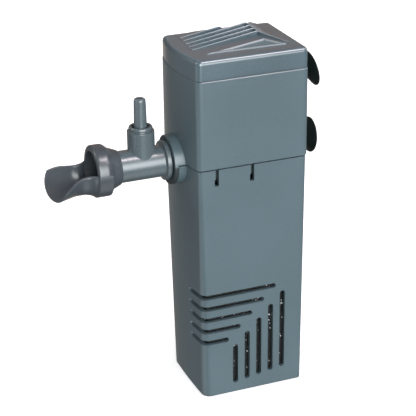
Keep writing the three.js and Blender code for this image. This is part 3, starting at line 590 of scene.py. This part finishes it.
# ---- Duckbill nozzle ------------------------------------------------------------------
RING_BACK_Y, RING_FRONT_Y = -66.8, -74.4
RING_RADIUS, LIP_RADIUS, LIP_INNER_RADIUS = 12.7, 12.9, 11.0
NOZZLE_BORE, NECK_RADIUS = 9.9, 10.1
LIP_Z = 126.2  # the thicker lip round the ring's lower half ends here
SCOOP_WALL = 1.9
RIM_ROUND = 0.6
TIP_CURVE = 3.6  # how far the middle of the scoop's tip reaches past its corners
STATIONS = (  # y, half width, height of the rim, height of the floor
    (-71.5, 12.4, 126.2, 112.2),
    (-74.2, 12.0, 126.2, 112.3),
    (-76.2, 10.3, 126.0, 113.1),
    (-78.6, 9.5, 125.8, 113.7),
    (-81.4, 9.9, 125.5, 113.9),
    (-84.0, 11.4, 125.2, 114.1),
    (-87.0, 13.8, 124.5, 114.1),
    (-89.5, 15.6, 123.4, 114.2),
    (-92.2, 16.9, 122.0, 114.4),
)
TIP_START = 3  # the station where the tip's curve begins
ARC_STEPS, CROWN_STEPS, STATION_STEPS = 44, 6, 6


def along(rows, place):
    """A smooth curve through rows of numbers; place counts rows."""
    i = min(int(place), len(rows) - 2)
    t = place - i
    near = [rows[max(0, min(len(rows) - 1, i + k))] for k in (-1, 0, 1, 2)]
    values = []
    for a, b, c, d in zip(*near):
        slope, bend, twist = c - a, 2 * a - 5 * b + 4 * c - d, 3 * b - a - 3 * c + d
        values.append(0.5 * (2 * b + slope * t + bend * t * t + twist * t**3))
    return values


def scoop_section(y, half, rim, floor, tip, shrink):
    """One closed section of the trough, its two rims rounded; shrink pulls it in at the lip."""
    outer, inner = shrink, SCOOP_WALL - shrink
    radius = (inner - outer) / 2
    shoulder = rim - RIM_ROUND

    def point(angle, wall, lift=0.0):
        return (
            (half - wall) * math.cos(angle),
            y - tip * math.sin(angle),
            shoulder - (shoulder - floor - wall) * math.sin(angle) + lift,
        )

    crown = [math.pi * i / CROWN_STEPS for i in range(1, CROWN_STEPS)]
    rises = [(radius * (1 - math.cos(a)), RIM_ROUND * math.sin(a)) for a in crown]
    section = [point(math.pi * i / ARC_STEPS, outer) for i in range(ARC_STEPS + 1)]
    section += [point(math.pi, outer + step, lift) for step, lift in rises]
    section += [point(math.pi * (1 - i / ARC_STEPS), inner) for i in range(ARC_STEPS + 1)]
    section += [point(0, inner - step, lift) for step, lift in rises]
    return section


def scoop_sections():
    """Every section from the ring to the tip, where the last ones round the lip."""
    last = len(STATIONS) - 1
    sections = []
    for ring in range(last * STATION_STEPS + 1):
        place = ring / STATION_STEPS
        y, half, rim, floor = along(STATIONS, place)
        tip = TIP_CURVE * max(0.0, (place - TIP_START) / (last - TIP_START)) ** 2
        sections.append((y, half, rim, floor, tip, 0.0))
    y, half, rim, floor, tip, _ = sections[-1]
    sections[-1] = (y + 0.33, half - 0.05, rim, floor, tip, 0.0)
    sections.append((y + 0.12, half, rim, floor, tip, 0.16))
    sections.append((y, half, rim, floor, tip, 0.42))
    return [scoop_section(*section) for section in sections]


def scoop():
    sections = scoop_sections()
    vertices = [point for section in sections for point in section]
    size = len(sections[0])
    faces = []
    for ring in range(len(sections) - 1):
        for i in range(size):
            a, b = ring * size + i, ring * size + (i + 1) % size
            faces.append((a, b, b + size, a + size))
    inner_start = ARC_STEPS + CROWN_STEPS  # where the inner arc begins in a section
    inner_end = inner_start + ARC_STEPS
    for start in (0, size * (len(sections) - 1)):
        for i in range(ARC_STEPS):
            facing = start + inner_end - i
            faces.append((start + i, start + i + 1, facing - 1, facing))
        faces.append(tuple(start + i for i in range(ARC_STEPS, inner_start + 1)))
        faces.append(tuple(start + i for i in (*range(inner_end, size), 0)))
    return solid_piece("scoop", vertices, faces)


def nozzle_ring():
    """The sleeve that turns on the pipe, and the ring in front of it."""
    sleeve = PIPE_RADIUS + 0.3
    profile = [
        (sleeve, NOZZLE_BACK_Y, 0),
        (sleeve, PIPE_END_Y - 0.3, 0),
        (NOZZLE_BORE, PIPE_END_Y - 1.2, 0.5),
        (NOZZLE_BORE, RING_FRONT_Y, 0.5),
        (RING_RADIUS, RING_FRONT_Y, 2.2),
        (RING_RADIUS, RING_BACK_Y - 1.6, 1.2),
        (NECK_RADIUS + 0.4, RING_BACK_Y + 0.9, 0.8),
        (PIPE_RADIUS + 0.7, NOZZLE_BACK_Y, 0),
    ]
    return lathe("duckbill_nozzle", rounded(profile), Y, OUTLET_AXIS, segments=128)


def nozzle_lip():
    """The thicker half ring that the scoop grows out of."""
    front, back = RING_FRONT_Y + 0.05, RING_BACK_Y - 0.05
    profile = [
        (LIP_INNER_RADIUS, front, 0),
        (LIP_RADIUS, front, 1.8),
        (LIP_RADIUS, back, 1.6),
        (LIP_INNER_RADIUS, back, 0),
    ]
    lip = lathe("lip", rounded(profile), Y, OUTLET_AXIS, segments=128)
    corner, opposite = (-20, -80, 100), (20, -60, LIP_Z)  # roomy, and cut off at the lip's height
    combine(lip, box_piece("lower", corner, opposite), "INTERSECT")
    return lip


def flow_nozzle():
    nozzle = nozzle_ring()
    lip = nozzle_lip()
    trough = scoop()
    bore = cylinder(
        "bore", NOZZLE_BORE + 0.03, RING_FRONT_Y - 1.0, RING_BACK_Y - 0.8, Y, OUTLET_AXIS, segments=128
    )
    combine(trough, bore, "DIFFERENCE")
    combine(nozzle, lip, "UNION")
    combine(nozzle, trough, "UNION")
    clean(nozzle.data, nozzle.data)
    smooth(nozzle, 38)
    return nozzle


finish_piece(flow_nozzle(), NOZZLE, "nozzle", "flow_nozzle")

# ---- Rubber ---------------------------------------------------------------------------
BODY_BACK = node_span("pump_head", Y)[1] - 1.8  # the back wall; the cup sockets stand 1.8 mm proud
CUP_X = 11.5
CUPS = (("lower", 131.2, -3.0), ("upper", 164.4, 12.0))  # name, height, lean in degrees
CUP_RADIUS, CUP_FACE, CUP_NECK = 8.8, 6.2, 2.1
CUP_ROOM = 0.06  # a cup stands this much further out for each degree of its lean
STUD_RADIUS, STUD_ROOT, STUD_LENGTH = 2.1, 0.9, 3.7
GLAND_Z, GLAND_BORE, GLAND_NECK, GLAND_FLANGE = 148.0, 2.2, 3.2, 4.6


def suction_cup(name, x, z, tilt):
    """A cup and its stud; the cup leans about its neck by tilt degrees."""
    profile = [
        (0, CUP_NECK, 0),
        (3.5, CUP_NECK, 0.5),
        (4.0, CUP_NECK + 1.0, 0.5),
        (5.6, CUP_NECK + 1.7, 0.8),
        (7.6, CUP_NECK + 2.9, 0.8),
        (CUP_RADIUS, CUP_FACE - 0.55, 0.4),
        (CUP_RADIUS, CUP_FACE, 0.2),
        (CUP_RADIUS - 0.9, CUP_FACE, 0.3),
        (6.6, CUP_FACE - 0.9, 0.8),
        (4.0, CUP_FACE - 1.8, 0.8),
        (0, CUP_FACE - 2.2, 0),
    ]
    cup = lathe(name, rounded(profile, steps=5), Y, (0, 0, 0), segments=80)
    neck = Vector((x, BODY_BACK + CUP_NECK + abs(tilt) * CUP_ROOM, z))
    cup.data.transform(
        Matrix.Translation(neck * MM)
        @ Matrix.Rotation(math.radians(tilt), 4, "X")
        @ Matrix.Translation(Vector((0, -CUP_NECK, 0)) * MM)
    )
    root, end = BODY_BACK - STUD_ROOT, BODY_BACK + STUD_LENGTH
    stud_profile = [(0, root, 0), (STUD_RADIUS, root, 0.3), (STUD_RADIUS, end, 0), (0, end, 0)]
    stud = lathe("stud", rounded(stud_profile), Y, (x, 0, z), segments=48)
    combine(cup, stud, "UNION")
    smooth(cup, 40)
    return cup


def cable_gland():
    profile = [
        (GLAND_BORE, BODY_BACK - 1.8, 0),
        (GLAND_NECK, BODY_BACK - 1.8, 0.2),
        (GLAND_NECK, BODY_BACK + 0.3, 0),
        (GLAND_FLANGE, BODY_BACK + 0.3, 0.3),
        (GLAND_FLANGE, BODY_BACK + 1.9, 0.5),
        (3.9, BODY_BACK + 2.3, 0.3),
        (3.5, BODY_BACK + 4.8, 0.4),
        (GLAND_BORE, BODY_BACK + 4.8, 0.2),
    ]
    gland = lathe("cable_gland_sleeve", rounded(profile), Y, (0, 0, GLAND_Z), segments=64)
    smooth(gland, 40)
    return gland


for height, z, tilt in CUPS:
    for side, x in (("right", CUP_X), ("left", -CUP_X)):
        cup = suction_cup(f"cup_{height}_{side}", x, z, tilt)
        finish_piece(cup, RUBBER, "head", f"suction_cup_{height}_{side}")
finish_piece(cable_gland(), RUBBER, "head", "cable_gland")

# ---- Foam -----------------------------------------------------------------------------
FOAM_GRAIN = 0.9  # size of the mesh's cells
PIT_SPACING = 2.6
PIT_RADIUS, PIT_SLOPE = 0.55, 0.75  # a share of the spacing, and millimetres for each spacing
RIPPLE_LENGTH, RIPPLE_DEPTH = 9.0, 0.12  # the depth is the mean one
FOAM_INSET = 0.12  # the whole surface is drawn in by this much


def foam_block():
    """The sponge: its cut faces are open cells, each a shallow pit."""
    block = refined("sponge", "foam_block")
    remesh = block.modifiers.new("cells", "REMESH")
    remesh.mode = "VOXEL"
    remesh.voxel_size = FOAM_GRAIN * MM
    mesh = evaluated_mesh(block)
    block.modifiers.clear()
    block.data = mesh
    normals = [vertex.normal.copy() for vertex in mesh.vertices]
    for vertex, normal in zip(mesh.vertices, normals):
        place = vertex.co / MM
        nearest = noise.voronoi(place / PIT_SPACING)[0][0]
        pit = PIT_SLOPE * max(0.0, PIT_RADIUS - nearest)
        ripple = RIPPLE_DEPTH * (1 + noise.noise(place / RIPPLE_LENGTH))
        vertex.co -= normal * (FOAM_INSET + pit + ripple) * MM
    smooth(block, 60)
    return block


block = foam_block()
finish_piece(block, FOAM, "canister", "sponge")

# ---- Inside the pump ------------------------------------------------------------------
INNER = (  # CAD node, material, body, slot
    ("volute_cover", HOUSING, "cover", "housing_plastic"),
    ("shaft_bush_lower", RUBBER, "cover", "black_rubber"),
    ("impeller", WHITE, "rotor", "white_plastic"),
    ("rotor_magnet", FERRITE, "rotor", "ferrite"),
    ("rotor_shaft", CERAMIC, "head", "ceramic"),
    ("shaft_bush_upper", RUBBER, "head", "black_rubber"),
    ("stator_core", STEEL, "head", "laminated_steel"),
    ("coil_bobbin", WHITE, "head", "white_plastic"),
    ("coil_winding", COPPER, "head", "copper_wire"),
    ("resin_seal", RESIN, "head", "potting_resin"),
)
for node, material, body, slot_name in INNER:
    piece = refined(node, node + "_finished")
    smooth(piece, 30)
    finish_piece(piece, material, body, node)

# ---- Camera ---------------------------------------------------------------------------
AZIMUTH, ELEVATION, ROLL = 68.45, 23.731, 0.769  # degrees
CAMERA_AT = (618.74, -259.22, 387.6)
LENS, SENSOR = 126.08135, 36.0


def place_camera():
    azimuth, elevation, roll = (math.radians(angle) for angle in (AZIMUTH, ELEVATION, ROLL))
    back = Vector(
        (
            math.sin(azimuth) * math.cos(elevation),
            -math.cos(azimuth) * math.cos(elevation),
            math.sin(elevation),
        )
    )
    right = Vector((math.cos(azimuth), math.sin(azimuth), 0.0))
    up = back.cross(right)
    turned_right = right * math.cos(roll) - up * math.sin(roll)
    turned_up = right * math.sin(roll) + up * math.cos(roll)
    lens = bpy.data.cameras.new("camera")
    lens.sensor_width = SENSOR
    lens.lens = LENS
    lens.clip_start = 0.01
    lens.clip_end = 50.0
    camera = bpy.data.objects.new("camera", lens)
    bpy.context.scene.collection.objects.link(camera)
    turn = Matrix((turned_right, turned_up, back)).transposed().to_4x4()
    camera.matrix_world = Matrix.Translation(Vector(CAMERA_AT) * MM) @ turn
    bpy.context.scene.camera = camera


place_camera()

# ---- Studio ---------------------------------------------------------------------------
AMBIENT = (0.10, 0.105, 0.11)
GLOWS = (  # direction, angles in degrees where the light starts and stops fading, colour, strength
    ((0.40, 0.336, 0.851), 3, 9, (1.0, 0.84, 0.90), 9.0),  # lamp: lines along the pipe and the cap
    ((0.36, 0.42, 0.84), 8, 13, (1.0, 0.93, 0.95), 5.6),  # window: the cap's long edge
    ((0.62, 0.38, 0.68), 2, 8, (1.0, 0.93, 0.95), 3.0),  # lamp: the triangle's near side
    ((0.975, 0.0, 0.22), 10, 33, (0.955, 0.992, 1.0), 6.6),  # key light on the broad side
    ((-0.87, 0.30, -0.38), 4, 30, (1.0, 0.88, 0.76), 0.44),  # pale wall seen in the far corner
    ((-0.35, -0.72, 0.58), 8, 20, (1.0, 0.97, 0.97), 2.4),  # window on the outlet's side
    ((-0.15, -1.0, 0.10), 10, 75, (0.96, 0.99, 1.0), 0.15),  # fill on the outlet's side
    ((-0.84, -0.34, -0.47), 3, 18, (1.0, 1.0, 0.98), 0.08),  # far end of the table
    ((0.31, -0.81, -0.51), 3, 9, (1.0, 1.0, 1.0), 1.5),  # near end of the table, in the front corner
    ((0.05, 0.67, 0.74), 5, 11, (1.0, 0.94, 1.0), 5.2),  # lamp: the long legs of the ribs
    ((0.31, 0.79, 0.54), 4, 9, (1.0, 0.92, 0.97), 5.0),  # lamp: the triangle's far side
    ((-0.38, -0.53, 0.76), 3, 8, (1.0, 0.94, 1.0), 2.4),  # lamp: the short legs of the ribs
    ((-0.10, -0.88, -0.45), 6, 30, (1.0, 0.99, 0.97), 0.4),  # table in front, in the front corner
    ((0.42, 0.34, -0.84), 5, 32, (1.0, 1.0, 1.0), 0.5),  # table below the pipe
    ((-0.30, 0.94, 0.15), 10, 27, (1.0, 0.98, 0.96), 1.3),  # room behind the filter
    ((-0.85, 0.34, 0.40), 10, 34, (1.0, 0.56, 0.42), 0.17),  # warm wall, seen in the cap's top
)
FLOOR_REACH, FLOOR_GAP = 4000, 0.2


def glow(tree, direction, towards, inner, outer, colour, strength):
    """Light that fades out between two angles from a direction."""
    dot = add_node(tree, "ShaderNodeVectorMath", operation="DOT_PRODUCT")
    tree.links.new(direction, dot.inputs[0])
    dot.inputs[1].default_value = Vector(towards).normalized()
    fade = add_node(tree, "ShaderNodeMapRange", interpolation_type="SMOOTHSTEP")
    fade.inputs["From Min"].default_value = math.cos(math.radians(outer))
    fade.inputs["From Max"].default_value = math.cos(math.radians(inner))
    tree.links.new(dot.outputs["Value"], fade.inputs["Value"])
    scaled = add_node(tree, "ShaderNodeVectorMath", operation="SCALE")
    scaled.inputs[0].default_value = Vector(colour) * strength
    tree.links.new(fade.outputs["Result"], scaled.inputs["Scale"])
    return scaled.outputs[0]


def room_light(world):
    """Soft studio light for the object; the camera itself sees plain white."""
    tree = world.node_tree
    coordinates = add_node(tree, "ShaderNodeTexCoord")
    total = add_node(tree, "ShaderNodeVectorMath", operation="ADD")
    total.inputs[0].default_value = AMBIENT
    for settings in GLOWS:
        light = glow(tree, coordinates.outputs["Generated"], *settings)
        tree.links.new(light, total.inputs[1])
        following = add_node(tree, "ShaderNodeVectorMath", operation="ADD")
        tree.links.new(total.outputs[0], following.inputs[0])
        total = following
    background = tree.nodes["Background"]
    tree.links.new(total.outputs[0], background.inputs["Color"])
    seen = add_node(tree, "ShaderNodeBackground", Color=(1, 1, 1, 1), Strength=1.0)
    path = add_node(tree, "ShaderNodeLightPath")
    mix = add_node(tree, "ShaderNodeMixShader")
    tree.links.new(path.outputs["Is Camera Ray"], mix.inputs[0])
    tree.links.new(background.outputs[0], mix.inputs[1])
    tree.links.new(seen.outputs[0], mix.inputs[2])
    tree.links.new(mix.outputs[0], tree.nodes["World Output"].inputs["Surface"])


def pale_floor():
    """A plain floor just under the part, almost as white as the background."""
    edge = FLOOR_REACH
    corners = [(-edge, -edge, 0), (edge, -edge, 0), (edge, edge, 0), (-edge, edge, 0)]
    floor = new_piece("floor", corners, [(0, 1, 2, 3)])
    floor.location.z = CAD_BOX[0][Z] - FLOOR_GAP * MM
    paper, _, _ = principled(
        "pale_floor",
        Base_Color=(0.9, 0.9, 0.9, 1.0),
        Roughness=0.8,
        Specular_IOR_Level=0.0,
        Emission_Color=(1.0, 1.0, 1.0, 1.0),
        Emission_Strength=0.62,
    )
    floor.data.materials.append(paper)
    floor.visible_glossy = False
    floor.visible_diffuse = False


def studio():
    scene = bpy.context.scene
    scene.view_settings.view_transform = "Standard"
    scene.world = bpy.data.worlds.new("studio")
    scene.world.use_nodes = True
    room_light(scene.world)
    pale_floor()


studio()
